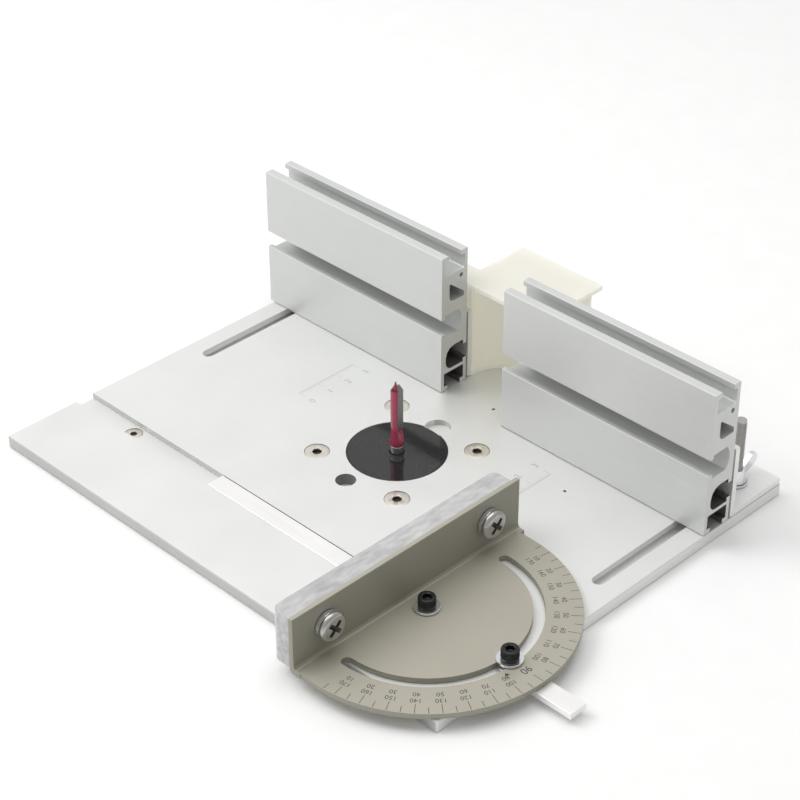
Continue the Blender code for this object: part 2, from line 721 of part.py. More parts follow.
def build_pad(made_of):
    origin = at(PIVOT_X, CHANNEL_Y, 0)
    front = pad_face() - PAD_THICK
    near = PAD_MIDDLE - PAD_HALF
    far = PAD_MIDDLE + PAD_HALF
    back = pad_face()
    corners = [(front, near, PAD_CORNER), (back, near, 0), (back, far, 0), (front, far, PAD_CORNER)]
    outline = rounded(corners, 6)
    pad = solid("face_pad", [prism(outline, PAD_BOTTOM, PAD_TOP)], made_of, origin)
    pocket = front + HEX_NUT_THICK + MM
    bodies = []
    for y in pad_screw_places():
        steps = [(6.2 * MM, front - MM), (6.2 * MM, pocket), (BOLT_HOLE, pocket), (BOLT_HOLE, back + MM)]
        bodies.append(("x", [(circle(r, ROUND, (y, PAD_SCREW_Z)), x) for r, x in steps]))
    cut(pad, bodies)
    return pad


def build_pad_screw(side, y, made_of):
    """A large pan-head screw with a cross recess, through the flange and the pad."""
    seat = FLANGE_FACE + GAP + SPRING_WASHER_THICK + GAP
    face = seat + PAD_SCREW_HEAD_THICK
    tip = pad_face() - PAD_THICK + 0.6 * MM
    stack = [
        (circle(BOLT_RADIUS), tip),
        (circle(BOLT_RADIUS), seat),
        (circle(PAD_SCREW_HEAD), seat),
        (circle(PAD_SCREW_HEAD), face - 1.4 * MM),
        (circle(PAD_SCREW_HEAD - 0.9 * MM), face - 0.3 * MM),
        (circle(PAD_SCREW_HEAD - 2 * MM), face),
    ]
    origin = at(PIVOT_X, CHANNEL_Y + y, PAD_SCREW_Z)
    screw = solid(f"pad_screw_{side}", [("x", stack)], made_of, origin)
    arm = 3.6 * MM
    half = 0.75 * MM
    cross = [(arm, half), (half, half), (half, arm), (-half, arm), (-half, half), (-arm, half)]
    cross += [(-u, -v) for u, v in cross]
    cut(screw, [prism(cross, face - 2 * MM, face + MM, "x")])
    return screw


def build_spring_washer(side, y, made_of):
    """A split ring behind the screw's head."""
    low = FLANGE_FACE + GAP
    ring = arc((0, 0), 7.2 * MM, 12, 352, 22) + arc((0, 0), BOLT_HOLE, 352, 12, 22)
    origin = at(PIVOT_X, CHANNEL_Y + y, PAD_SCREW_Z)
    body = prism(ring, low, low + SPRING_WASHER_THICK, "x")
    return solid(f"spring_washer_{side}", [body], made_of, origin)


# Assembly


def build_base(metal):
    build_table(metal["plate"])
    build_insert(metal["insert"])
    corners = ("front_left", "front_right", "rear_left", "rear_right")
    for corner, (x, y) in zip(corners, router_screw_places()):
        name = f"router_screw_{corner}"
        bottom = GAP - TABLE_THICK
        build_countersunk_screw(
            name, x, y, -0.1 * MM, bottom, ROUTER_SCREW_HEAD, BOLT_RADIUS, 2 * MM, metal["nickel"]
        )
    for side, x in zip(("left", "right"), CHANNEL_SCREW_X):
        build_countersunk_screw(
            f"channel_screw_{side}", x, CHANNEL_Y, -CHANNEL_DEPTH - 0.1 * MM, GAP - TABLE_THICK,
            CHANNEL_SCREW_RADIUS, 2.2 * MM, 1.5 * MM, metal["nickel"],
        )
    build_bit(metal["bit"])


def build_fence_side(side, start, slot_x, metal):
    build_fence(f"fence_{side}", start, metal["fence"])
    build_bracket(side, metal["bracket"])
    build_slot_bolt(side, slot_x, metal["zinc"])
    washer_low = GAP + BRACKET_THICK + GAP
    build_washer(
        f"slot_washer_{side}", "z", at(slot_x, SLOT_BOLT_Y, 0), washer_low, WASHER_RADIUS, metal["zinc"]
    )
    build_wing_nut(side, slot_x, metal["zinc"])
    for place, x in zip(("outer", "inner"), bolt_places(side)):
        seat = BRACKET_FRONT + BRACKET_THICK + GAP
        if place == "inner":
            seat = GUARD_FRONT + GUARD_WALL + GAP
        nut_seat = seat + WASHER_THICK + GAP
        length = nut_seat + HEX_NUT_THICK + 2 * MM - FENCE_FRONT
        label = f"{side}_{place}"
        build_fence_bolt(f"fence_bolt_{label}", x, length, metal["zinc"])
        build_washer(
            f"fence_washer_{label}", "y", at(x, seat, BOLT_Z), 0, WASHER_RADIUS, metal["zinc"]
        )
        build_hex_nut(f"fence_nut_{label}", "y", at(x, nut_seat, BOLT_Z), 0, metal["zinc"])


def build_gauge(metal):
    build_bar(metal["steel"])
    build_protractor(metal["gauge"])
    washer_low = GAP + PROTRACTOR_THICK + GAP
    for name, x in (("pivot", PIVOT_X), ("lock", PIVOT_X + LOCK_RADIUS)):
        build_cap_screw(f"{name}_screw", x, metal["black"])
        centre = at(x, CHANNEL_Y, 0)
        build_washer(
            f"{name}_washer", "z", centre, washer_low, GAUGE_WASHER_RADIUS, metal["zinc"], CAP_SCREW_HOLE
        )
    build_pad(metal["acrylic"])
    for side, y in zip(("front", "rear"), pad_screw_places()):
        build_pad_screw(side, y, metal["zinc"])
        build_spring_washer(side, y, metal["zinc"])
        nut_low = pad_face() - PAD_THICK + 0.7 * MM
        nut_centre = at(PIVOT_X, CHANNEL_Y + y, PAD_SCREW_Z)
        build_hex_nut(f"pad_nut_{side}", "x", nut_centre, nut_low, metal["zinc"])


def main():
    for thing in list(bpy.data.objects):
        bpy.data.objects.remove(thing)
    metal = {
        "plate": material("anodised_plate", (0.82, 0.83, 0.83), 0.85, 0.42),
        "insert": material("black_insert", (0.02, 0.02, 0.02), 0.0, 0.12),
        "nickel": material("nickel_screw", (0.78, 0.74, 0.66), 1.0, 0.32),
        "bit": material("red_cutter", (0.42, 0.03, 0.07), 0.3, 0.3),
        "fence": material("fence_aluminium", (0.76, 0.78, 0.77), 0.9, 0.38),
        "bracket": material("bracket_aluminium", (0.80, 0.80, 0.78), 0.9, 0.4),
        "guard": material("milky_plastic", (0.90, 0.89, 0.80), 0.0, 0.35, 0.9),
        "zinc": material("zinc_hardware", (0.80, 0.81, 0.82), 1.0, 0.22),
        "steel": material("bright_steel_bar", (0.80, 0.79, 0.77), 1.0, 0.25),
        "gauge": material("gauge_aluminium", (0.42, 0.41, 0.34), 0.7, 0.45),
        "black": material("black_oxide", (0.02, 0.02, 0.02), 0.6, 0.35),
        "acrylic": material("clear_acrylic", (0.92, 0.93, 0.92), 0.0, 0.15, 0.4),
    }
    build_base(metal)
    build_fence_side("left", FENCE_LEFT_X, SLOT_X[0], metal)
    build_fence_side("right", FENCE_RIGHT_X, SLOT_X[1], metal)
    build_guard(metal["guard"])
    build_gauge(metal)


main()
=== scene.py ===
"""Looks for the bench-top router table: eased edges, real screws, scales, finishes, light and camera.

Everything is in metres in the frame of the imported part: +X to the operator's right along the miter
channel, +Y towards the fence and +Z up from the underside of the table.
"""

import json
import math

import bmesh
import bpy
from mathutils import Matrix, Vector

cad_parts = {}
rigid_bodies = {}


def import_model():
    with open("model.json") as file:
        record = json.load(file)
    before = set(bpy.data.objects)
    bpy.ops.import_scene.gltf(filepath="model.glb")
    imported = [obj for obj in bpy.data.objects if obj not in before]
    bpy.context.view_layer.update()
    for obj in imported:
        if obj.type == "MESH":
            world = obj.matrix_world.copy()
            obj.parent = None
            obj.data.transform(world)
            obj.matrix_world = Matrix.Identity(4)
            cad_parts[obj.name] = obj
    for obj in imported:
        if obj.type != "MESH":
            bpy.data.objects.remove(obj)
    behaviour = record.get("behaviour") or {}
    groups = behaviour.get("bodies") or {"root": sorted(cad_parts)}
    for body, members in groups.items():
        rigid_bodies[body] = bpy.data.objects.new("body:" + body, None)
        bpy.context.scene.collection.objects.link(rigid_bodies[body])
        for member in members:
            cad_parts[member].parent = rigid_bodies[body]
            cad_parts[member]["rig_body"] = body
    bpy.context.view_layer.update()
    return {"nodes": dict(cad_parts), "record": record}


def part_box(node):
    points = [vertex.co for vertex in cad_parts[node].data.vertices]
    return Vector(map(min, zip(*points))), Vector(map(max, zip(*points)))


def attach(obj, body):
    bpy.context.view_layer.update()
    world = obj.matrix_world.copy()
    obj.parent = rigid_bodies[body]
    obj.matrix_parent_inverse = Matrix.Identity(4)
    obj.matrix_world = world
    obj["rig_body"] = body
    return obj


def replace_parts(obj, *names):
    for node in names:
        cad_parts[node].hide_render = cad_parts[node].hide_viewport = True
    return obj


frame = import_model()

MM = 0.001
GAP = 0.3 * MM
RECORD_SLOTS = {part["node"]: part["material_slot"] for part in frame["record"]["subparts"]}

# Camera
CAMERA_AT = (617.2 * MM, -617.7 * MM, 645.7 * MM)
CAMERA_AZIMUTH = 44.76
CAMERA_ELEVATION = 34.41
CAMERA_LENS = 99.9
CAMERA_SHIFT = (-0.0102, 0.0139)

# Finishes
BROAD_GRAIN = 30  # features per metre of the broad unevenness
BROAD_SHARE = 0.45
GRAIN_SPAN = (0.3, 0.7)  # the noise values at the two ends of a finish's range
ROUGHNESS_SPREAD = 0.15
RELIEF_DEPTH = 0.05 * MM

# Eased edges
WELD_DISTANCE = 0.002 * MM
FLAT_ANGLE = 0.5  # degrees between facets that merge

# Places on the table, from its front left corner
WRENCH_HOLE = (147.5 * MM, 93.5 * MM)
WRENCH_HOLE_RADIUS = 5.4 * MM
TABLE_SCALES = ((76 * MM, 1), (215.3 * MM, -1))  # each scale's base line, and the side of its ticks
TABLE_SCALE_START = 129.3 * MM
TABLE_SCALE_UNIT = 12.7 * MM
TABLE_SCALE_UNITS = 3
TABLE_SCALE_TICKS = 8  # to each unit
TABLE_UNIT_TICK = 4.5 * MM
TABLE_HALF_TICK = 2.6 * MM
TABLE_SMALL_TICK = 1.6 * MM
TABLE_TICK_WIDTH = 0.2 * MM
TABLE_DIGITS_AWAY = 10 * MM
TABLE_DIGITS_SIZE = 5.4 * MM

# Cutter
NECK_ABOVE_TABLE = 4.2 * MM
SPUR_HEIGHT = 4.6 * MM
TEETH_TURN = 45  # degrees from +X

# The fence's slots whose walls take painted shade, as spans of Y behind its face and of Z above its foot
REAR_SLOT = (2.9 * MM, 18.2 * MM), (11.5 * MM, 26 * MM)
FOOT_SLOT = (1.8 * MM, 16.8 * MM), (0.4 * MM, 10.6 * MM)

# Screws, with each socket's distance from its middle to its flats
ROUTER_SOCKET = 2 * MM
CHANNEL_SOCKET = 1.5 * MM
SOCKET_DEPTH = 2.4 * MM
SOCKET_SHARE = 0.6  # the most of a short screw that its socket may take
HEAD_TO_SHANK = 2.05
M6_RADIUS = 3 * MM
T_HEAD_THICK = 4 * MM
SQUARE_HEAD_THICK = 2.6 * MM
CAP_HEAD_RADIUS = 4.25 * MM
CAP_HEAD_HEIGHT = 5 * MM
CAP_SHANK_RADIUS = 2.5 * MM
CAP_SOCKET = 2 * MM
CAP_KNURL = 0.22 * MM
CAP_SIDES = 96
PAN_HEAD_RADIUS = 7.3 * MM
PAN_HEAD_HEIGHT = 3 * MM
PAN_DOME_DEPTH = 0.28 * MM
CROSS_REACH = 4.9 * MM
CROSS_DEPTH = 2.2 * MM

# The gauge's scale, with each radius from the pivot
PROTRACTOR_RIM = 70.6 * MM
RIM_MARGIN = 0.4 * MM
LONG_TICK = 5.6 * MM
SHORT_TICK = 3.8 * MM
OUTER_NUMBERS = 62.2 * MM
INNER_NUMBERS = 58.2 * MM
MIDDLE_NUMBER = 60 * MM
NUMBER_SIZE = 3.6 * MM
MIDDLE_NUMBER_SIZE = 5.4 * MM

TICK_WIDTH = 0.3 * MM
INK_LIFT = 0.015 * MM

# Studio
FLOOR_REACH = 3.0
FLOOR_LEVEL = -0.2 * MM
LIGHTS = (  # name, place, size, power
    ("key", (-0.75, -0.55, 1.15), 0.9, 8),
    ("top", (0.05, 0.15, 1.5), 1.2, 6),
)
SKY_SPAN = (-0.6, 0.9)  # the directions' X between which the walls fade
SKY_BRIGHT = 0.8
SKY_DIM = 0.42

ROUND = 48  # sides of small round pieces


# Finishes


def surface(name, colour, metallic, roughness, grain, stretch=(1, 1, 1), bump=0.15, spread=0.06, **inputs):
    """A finish whose fine grain and broad unevenness change its colour, its roughness and its relief.

    grain counts features per metre, and stretch scales it along each axis.
    """
    made = bpy.data.materials.new(name)
    made.use_nodes = True
    nodes = made.node_tree.nodes
    links = made.node_tree.links
    shader = nodes["Principled BSDF"]
    shader.inputs["Metallic"].default_value = metallic
    for key, value in inputs.items():
        shader.inputs[key.replace("_", " ")].default_value = value
    place = nodes.new("ShaderNodeTexCoord")
    mapping = nodes.new("ShaderNodeMapping")
    mapping.inputs["Scale"].default_value = stretch
    links.new(place.outputs["Object"], mapping.inputs["Vector"])
    fine = noise(nodes, links, mapping.outputs["Vector"], grain, 4)
    broad = noise(nodes, links, place.outputs["Object"], BROAD_GRAIN, 3)
    both = nodes.new("ShaderNodeMix")
    both.inputs["Factor"].default_value = BROAD_SHARE
    links.new(fine, both.inputs["A"])
    links.new(broad, both.inputs["B"])
    tone = nodes.new("ShaderNodeValToRGB")
    tone.color_ramp.elements[0].position = GRAIN_SPAN[0]
    tone.color_ramp.elements[1].position = GRAIN_SPAN[1]
    tone.color_ramp.elements[0].color = (*[c * (1 - spread) for c in colour], 1)
    tone.color_ramp.elements[1].color = (*[min(1, c * (1 + spread)) for c in colour], 1)
    links.new(both.outputs["Result"], tone.inputs["Fac"])
    links.new(tone.outputs["Color"], shader.inputs["Base Color"])
    rough = nodes.new("ShaderNodeMapRange")
    rough.inputs["From Min"].default_value = GRAIN_SPAN[0]
    rough.inputs["From Max"].default_value = GRAIN_SPAN[1]
    rough.inputs["To Min"].default_value = roughness * (1 - ROUGHNESS_SPREAD)
    rough.inputs["To Max"].default_value = min(1, roughness * (1 + ROUGHNESS_SPREAD))
    links.new(both.outputs["Result"], rough.inputs["Value"])
    links.new(rough.outputs["Result"], shader.inputs["Roughness"])
    relief = nodes.new("ShaderNodeBump")
    relief.inputs["Strength"].default_value = bump
    relief.inputs["Distance"].default_value = RELIEF_DEPTH
    links.new(fine, relief.inputs["Height"])
    links.new(relief.outputs["Normal"], shader.inputs["Normal"])
    return made


def noise(nodes, links, vector, scale, detail):
    """Adds a noise texture and gives its value's socket."""
    made = nodes.new("ShaderNodeTexNoise")
    made.inputs["Scale"].default_value = scale
    made.inputs["Detail"].default_value = detail
    links.new(vector, made.inputs["Vector"])
    return made.outputs["Fac"]


def make_finishes():
    along_x = (0.02, 1, 1)
    return {
        "plate": surface("blasted_aluminium", (0.80, 0.805, 0.79), 0.5, 0.5, 2600, bump=0.25, spread=0.03),
        # Milled grain along X for the plate's front faces, with a darker tone that is painted shade on the
        # side turned to the front.
        "plate_front_shade": surface("milled_front_shade", (0.52, 0.52, 0.505), 0.65, 0.4, 1500, along_x, 0.2, 0.08),
        "insert": surface(
            "gloss_black", (0.02, 0.02, 0.021), 0, 0.1, 900, bump=0.02, spread=0.15, Specular_IOR_Level=0.42
        ),
        "nickel_screws": surface("nickel_plate", (0.80, 0.76, 0.68), 0.9, 0.34, 1800, bump=0.1),
        "cutter": surface(
            "crimson_enamel", (0.36, 0.04, 0.085), 0.25, 0.3, 900, bump=0.1, spread=0.15, Coat_Weight=0.4
        ),
        "fence": surface("extruded_aluminium", (0.66, 0.67, 0.66), 0.42, 0.5, 1500, along_x, 0.25, 0.05),
        # Painted shade: a dark copy of the extrusion for the walls inside the fence's slots.
        "cavity_shade": surface("painted_slot_shade", (0.11, 0.105, 0.10), 0.3, 0.7, 1500, along_x, 0.2, 0.1),
        # Painted shade: a dark finish for the walls of the wrench hole.
        "hole": surface("painted_bore_shade", (0.26, 0.26, 0.25), 0.2, 0.7, 1500, bump=0.2, spread=0.1),
        "bracket": surface("bracket_aluminium", (0.86, 0.86, 0.85), 0.5, 0.45, 1800, along_x, 0.2, 0.05),
        # The guard's cream emission is painted light: a glow that stands in for light passing through the
        # translucent plastic.
        "guard": surface(
            "milky_plastic", (0.64, 0.63, 0.575), 0, 0.4, 300, bump=0.05, spread=0.015,
            Transmission_Weight=0.1, Subsurface_Weight=0.7, Subsurface_Scale=0.012, IOR=1.35,
            Subsurface_Radius=(1, 0.95, 0.8), Emission_Color=(1, 0.97, 0.84, 1), Emission_Strength=0.17,
        ),
        "zinc": surface("bright_zinc", (0.80, 0.81, 0.83), 0.95, 0.2, 1400, bump=0.08, spread=0.08),
        "steel_bar": surface("ground_steel", (0.95, 0.94, 0.92), 0.5, 0.34, 1300, along_x, 0.15, 0.04),
        "gauge": surface("champagne_anodised", (0.46, 0.44, 0.37), 0.5, 0.5, 2600, bump=0.2, spread=0.04),
        # Painted shade: a darker copy of the gauge's anodising for the protractor's upright faces.
        "gauge_side_shade": surface(
            "champagne_side_shade", (0.33, 0.32, 0.265), 0.45, 0.5, 2600, bump=0.2, spread=0.04
        ),
        "black_screws": surface("black_oxide", (0.022, 0.022, 0.023), 0.5, 0.34, 2200, bump=0.2, spread=0.2),
        "clear_pad": surface(
            "clear_acrylic", (0.80, 0.81, 0.80), 0, 0.18, 420, (1, 0.3, 1), 0.9, 0.34,
            Transmission_Weight=0.4, IOR=1.49,
        ),
        # A darker zinc for the pan heads of the pad screws.
        "pan_head": surface("darker_zinc", (0.50, 0.50, 0.475), 0.9, 0.3, 1400, bump=0.1, spread=0.12),
        "carbide": surface("ground_carbide", (0.26, 0.26, 0.265), 0.9, 0.32, 1500, (1, 1, 0.1), 0.1, 0.12),
        "ink": surface("dark_ink", (0.06, 0.06, 0.055), 0, 0.6, 2500, bump=0.1, spread=0.25),
        "engraving": surface("laser_mark", (0.52, 0.52, 0.51), 0.3, 0.6, 2500, bump=0.1, spread=0.1),
        # Painted shade: a dark finish for screw sockets and cross recesses.
        "recess": surface("painted_recess_shade", (0.10, 0.085, 0.07), 0.6, 0.45, 1800, bump=0.1, spread=0.2),
        "thread": surface("dark_thread", (0.50, 0.48, 0.46), 0.9, 0.3, 1400, bump=0.1, spread=0.1),
        "floor": surface("pale_floor", (0.93, 0.93, 0.925), 0, 0.8, 60, bump=0.02, spread=0.01),
    }


# Shapes


def add_piece(name, shape, finish, body, crease=34):
    """A new piece from mesh data, smooth except where its faces meet at more than crease degrees."""
    bmesh.ops.recalc_face_normals(shape, faces=shape.faces)
    for face in shape.faces:
        face.smooth = True
    for edge in shape.edges:
        edge.smooth = len(edge.link_faces) == 2 and edge.calc_face_angle(0) < math.radians(crease)
    mesh = bpy.data.meshes.new(name)
    shape.to_mesh(mesh)
    shape.free()
    mesh.materials.append(finish)
    piece = bpy.data.objects.new(name, mesh)
    bpy.context.scene.collection.objects.link(piece)
    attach(piece, body)
    return piece


def even_shading(piece):
    """Keeps large flat faces flat beside their eased edges."""
    weighted = piece.modifiers.new("weighted_normals", "WEIGHTED_NORMAL")
    weighted.keep_sharp = True
    weighted.weight = 100


def eased(node, finishes, edge=0.3 * MM, angle=30, finish=None):
    """Stands for a CAD node: its own shape with merged facets and rounded edges."""
    source = frame["nodes"][node]
    shape = bmesh.new()
    shape.from_mesh(source.data)
    bmesh.ops.remove_doubles(shape, verts=shape.verts, dist=WELD_DISTANCE)
    merge_below = math.radians(FLAT_ANGLE)
    bmesh.ops.dissolve_limit(shape, angle_limit=merge_below, verts=shape.verts, edges=shape.edges)
    sharp = [
        e for e in shape.edges if len(e.link_faces) == 2 and e.calc_face_angle(0) > math.radians(angle)
    ]
    bmesh.ops.bevel(
        shape, geom=sharp, offset=edge, segments=2, profile=0.6, affect="EDGES", clamp_overlap=True
    )
    slot = RECORD_SLOTS[node]
    piece = add_piece(f"{node}_detail", shape, finish or finishes[slot], source["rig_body"])
    even_shading(piece)
    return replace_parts(piece, node)


AXES = {
    "x": lambda u, v, w: Vector((w, u, v)),
    "y": lambda u, v, w: Vector((v, w, u)),
    "z": lambda u, v, w: Vector((u, v, w)),
}


def circle(radius, count=ROUND, ribs=0.0):
    """A circle, or with ribs a knurled one whose every other point lies that much deeper."""
    points = []
    for i in range(count):
        reach = radius - (ribs if i % 2 else 0)
        angle = 2 * math.pi * i / count
        points.append((reach * math.cos(angle), reach * math.sin(angle)))
    return points


def polygon_on_rays(sides, flat, count=ROUND):
    """A regular polygon with the given distance to its flats, as points on the same rays as circle()."""
    half = math.pi / sides
    points = []
    for i in range(count):
        angle = 2 * math.pi * i / count
        reach = flat / math.cos((angle + half) % (2 * half) - half)
        points.append((reach * math.cos(angle), reach * math.sin(angle)))
    return points


def stack_shape(shape, axis, centre, stack, closed=False):
    """Adds faces between neighbouring (outline, height) pairs, with caps unless the stack is closed."""
    place = AXES[axis]
    centre = Vector(centre)
    rings = [[shape.verts.new(centre + place(u, v, w)) for u, v in outline] for outline, w in stack]
    pairs = list(zip(rings, rings[1:]))
    if closed:
        pairs.append((rings[-1], rings[0]))
    for lower, upper in pairs:
        for i, corner in enumerate(lower):
            following = (i + 1) % len(lower)
            shape.faces.new((corner, lower[following], upper[following], upper[i]))
    if not closed:
        shape.faces.new(list(reversed(rings[0])))
        shape.faces.new(rings[-1])


def box_shape(shape, low, high):
    """Adds an upright box between two corners."""
    corners = [(low[0], low[1]), (high[0], low[1]), (high[0], high[1]), (low[0], high[1])]
    stack_shape(shape, "z", (0, 0, 0), [(corners, low[2]), (corners, high[2])])


def turned(name, node, axis, centre, stack, finish, closed=False, crease=34):
    """A piece from stacked outlines that stands for a CAD node."""
    shape = bmesh.new()
    stack_shape(shape, axis, centre, stack, closed)
    body = frame["nodes"][node]["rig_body"]
    piece = add_piece(name, shape, finish, body, crease)
    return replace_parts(piece, node)


def middle(node):
    low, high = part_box(node)
    return (low + high) / 2


def thread_rings(radius, low, high, pitch=1 * MM, depth=0.45 * MM, steps=6):
    """Outlines of a threaded shank: a ridge that winds round once each pitch."""
    rings = []
    count = max(2, round((high - low) / pitch * steps))
    for i in range(count + 1):
        height = low + (high - low) * i / count
        end = min(1, (high - height) / (1.5 * pitch), (height - low) / (0.5 * pitch) + 0.2)
        outline = []
        for j in range(ROUND):
            turn = (height / pitch - j / ROUND) % 1
            reach = radius - depth * end * (1 - abs(2 * turn - 1)) - (1 - end) * 0.5 * depth
            angle = 2 * math.pi * j / ROUND
            outline.append((reach * math.cos(angle), reach * math.sin(angle)))
        rings.append((outline, height))
    return rings


# Table


def detail_table(finishes):
    plate = eased("table_plate", finishes, 0.25 * MM)
    plate.data.materials.append(finishes["plate_front_shade"])
    plate.data.materials.append(finishes["hole"])
    low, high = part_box("table_plate")
    for face in plate.data.polygons:
        x = face.center.x - low.x - WRENCH_HOLE[0]
        y = face.center.y - low.y - WRENCH_HOLE[1]
        # The wrench hole's walls take painted shade.
        if math.hypot(x, y) < WRENCH_HOLE_RADIUS and abs(face.normal.z) < 0.5:
            face.material_index = 2
        # Faces turned to the front take the darker milled finish: painted shade on the plate's front side.
        elif face.normal.y < -0.6:
            face.material_index = 1
    eased("insert_disc", finishes, 0.2 * MM)
    for corner in ("front_left", "front_right", "rear_left", "rear_right"):
        detail_countersunk(f"router_screw_{corner}", ROUTER_SOCKET, finishes)
    for side in ("left", "right"):
        detail_countersunk(f"channel_screw_{side}", CHANNEL_SOCKET, finishes)
    marks = bmesh.new()
    for x, side in TABLE_SCALES:
        add_table_scale(marks, low.x + x, low.y + TABLE_SCALE_START, high.z + INK_LIFT, side)
    add_piece("table_scales", marks, finishes["engraving"], "table")


def add_table_scale(marks, base, near, height, side):
    """A short scale along Y: a base line, ticks towards the bit and the numbers 0 to 3."""
    add_line(marks, (base, near), (base, near + TABLE_SCALE_UNITS * TABLE_SCALE_UNIT), height)
    for i in range(TABLE_SCALE_UNITS * TABLE_SCALE_TICKS + 1):
        if i % TABLE_SCALE_TICKS == 0:
            length = TABLE_UNIT_TICK
        elif i % (TABLE_SCALE_TICKS // 2) == 0:
            length = TABLE_HALF_TICK
        else:
            length = TABLE_SMALL_TICK
        y = near + TABLE_SCALE_UNIT * i / TABLE_SCALE_TICKS
        add_line(marks, (base, y), (base + side * length, y), height, TABLE_TICK_WIDTH)
    for i in range(TABLE_SCALE_UNITS + 1):
        at = Matrix.Translation((base + side * TABLE_DIGITS_AWAY, near + i * TABLE_SCALE_UNIT, height))
        add_text(marks, str(i), TABLE_DIGITS_SIZE, at @ Matrix.Rotation(math.radians(90), 4, "Z"))


def add_line(marks, start, end, height, width=TICK_WIDTH):
    """A flat inked line between two points."""
    start, end = Vector(start), Vector(end)
    along = (end - start).normalized()
    across = Vector((-along.y, along.x)) * width / 2
    corners = [start - across, end - across, end + across, start + across]
    marks.faces.new([marks.verts.new((*corner, height)) for corner in corners])


def add_text(marks, words, size, place):
    """Flat inked digits, centred on place."""
    curve = bpy.data.curves.new("digits", "FONT")
    curve.body = words
    curve.size = size
    curve.align_x = "CENTER"
    curve.align_y = "CENTER"
    curve.resolution_u = 4
    holder = bpy.data.objects.new("digits", curve)
    flat = holder.to_mesh()
    flat.transform(place)
    marks.from_mesh(flat)
    holder.to_mesh_clear()
    bpy.data.objects.remove(holder)
    bpy.data.curves.remove(curve)


def detail_countersunk(node, socket, finishes):
    """A flat screw head with a chamfered hex socket."""
    low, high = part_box(node)
    centre = middle(node)
    head = (high.x - low.x) / 2
    top = high.z
    bottom = low.z
    shank = head / HEAD_TO_SHANK
    floor = top - min(SOCKET_DEPTH, (top - bottom) * SOCKET_SHARE)
    stack = [
        (polygon_on_rays(6, socket * 0.7), floor),
        (polygon_on_rays(6, socket), floor + 0.5 * MM),
        (polygon_on_rays(6, socket), top - 0.25 * MM),
        (circle(socket * 1.22), top),
        (circle(head - 0.35 * MM), top),
        (circle(head - 0.1 * MM), top - 0.1 * MM),
        (circle(head), top - 0.3 * MM),
        (circle(shank), max(top - head + shank - 0.3 * MM, bottom + 0.1 * MM)),
        (circle(shank), bottom),
    ]
    piece = turned(f"{node}_detail", node, "z", (centre.x, centre.y, 0), stack, finishes["nickel_screws"])
    shade_recess(piece, finishes["recess"], (centre.x, centre.y, top), socket * 1.15)


def shade_recess(piece, finish, centre, reach):
    """Paints shade in the socket: the faces that lie near the head's axis and not far below its top."""
    piece.data.materials.append(finish)
    centre = Vector(centre)
    for face in piece.data.polygons:
        offset = face.center - centre
        if offset.length < 2 * reach and math.hypot(offset.x, offset.y) < reach:
            face.material_index = 1


def detail_bit(finishes):
    """A straight cutter: bright shank, enamelled body with two pockets, a tooth in each, and a spur."""
    low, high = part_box("router_bit")
    centre = middle("router_bit")
    at = (centre.x, centre.y, 0)
    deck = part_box("table_plate")[1].z
    neck = deck + NECK_ABOVE_TABLE
    shoulder = high.z - SPUR_HEIGHT
    shank = [
        (circle(2.9 * MM), low.z),
        (circle(3.17 * MM), low.z + 0.4 * MM),
        (circle(3.17 * MM), deck - MM),
        (circle(3.55 * MM), deck),
        (circle(3.55 * MM), neck - 0.2 * MM),
        (circle(3.4 * MM), neck),
    ]
    add_bit_piece("bit_shank", at, shank, finishes["zinc"])
    body = [
        (cutter_outline(3.5, 0), neck),
        (cutter_outline(3.8, 0), neck + 0.3 * MM),
        (cutter_outline(3.75, 0), neck + 1.6 * MM),
        (cutter_outline(3.4, 0.1), neck + 4 * MM),
        (cutter_outline(3.15, 0.5), neck + 6.6 * MM),
        (cutter_outline(3.05, 1), neck + 9.5 * MM),
        (cutter_outline(3.05, 1), shoulder - 0.3 * MM),
        (cutter_outline(2.8, 1), shoulder),
    ]
    turned("bit_body", "router_bit", "z", at, body, finishes["cutter"], crease=48)
    spur = [
        (spur_outline(-1.5, 0.4, 1.5), shoulder - MM),
        (spur_outline(-1.3, 0.4, 1.4), shoulder + 1.6 * MM),
        (spur_outline(-1.0, -0.3, 0.4), high.z),
    ]
    add_bit_piece("bit_spur", at, spur, finishes["cutter"])
    for label, side in (("rear", -1), ("front", 1)):
        tooth = [
            (tooth_outline(2.6, side), neck + 9 * MM),
            (tooth_outline(3.12, side), neck + 9.8 * MM),
            (tooth_outline(3.12, side), shoulder),
            (tooth_outline(1.2, side), high.z - 1.6 * MM),
        ]
        add_bit_piece(f"bit_tooth_{label}", at, tooth, finishes["carbide"])


def add_bit_piece(name, at, stack, finish):
    """A further piece of the cutter, which stands for no node of its own."""
    shape = bmesh.new()
    stack_shape(shape, "z", at, stack)
    add_piece(name, shape, finish, "bit")


def spur_outline(left, right, depth):
    """The spur's section: a rectangle in millimetres."""
    corners = [(left, -depth), (right, -depth), (right, depth), (left, depth)]
    return [across_bit(u, v) for u, v in corners]


def tooth_outline(reach, side):
    """A tooth's section in millimetres, out to reach on one side of the axis."""
    corners = [(0.37, -0.5), (reach, -0.5), (reach, 0.35), (0.37, 0.5)]
    return [across_bit(side * u, side * v) for u, v in corners]


def across_bit(u, v):
    """A point of the cutter's section in millimetres, with u along its teeth and v square to them."""
    turn = math.radians(TEETH_TURN)
    x = u * math.cos(turn) + v * math.sin(turn)
    y = u * math.sin(turn) - v * math.cos(turn)
    return (x * MM, y * MM)


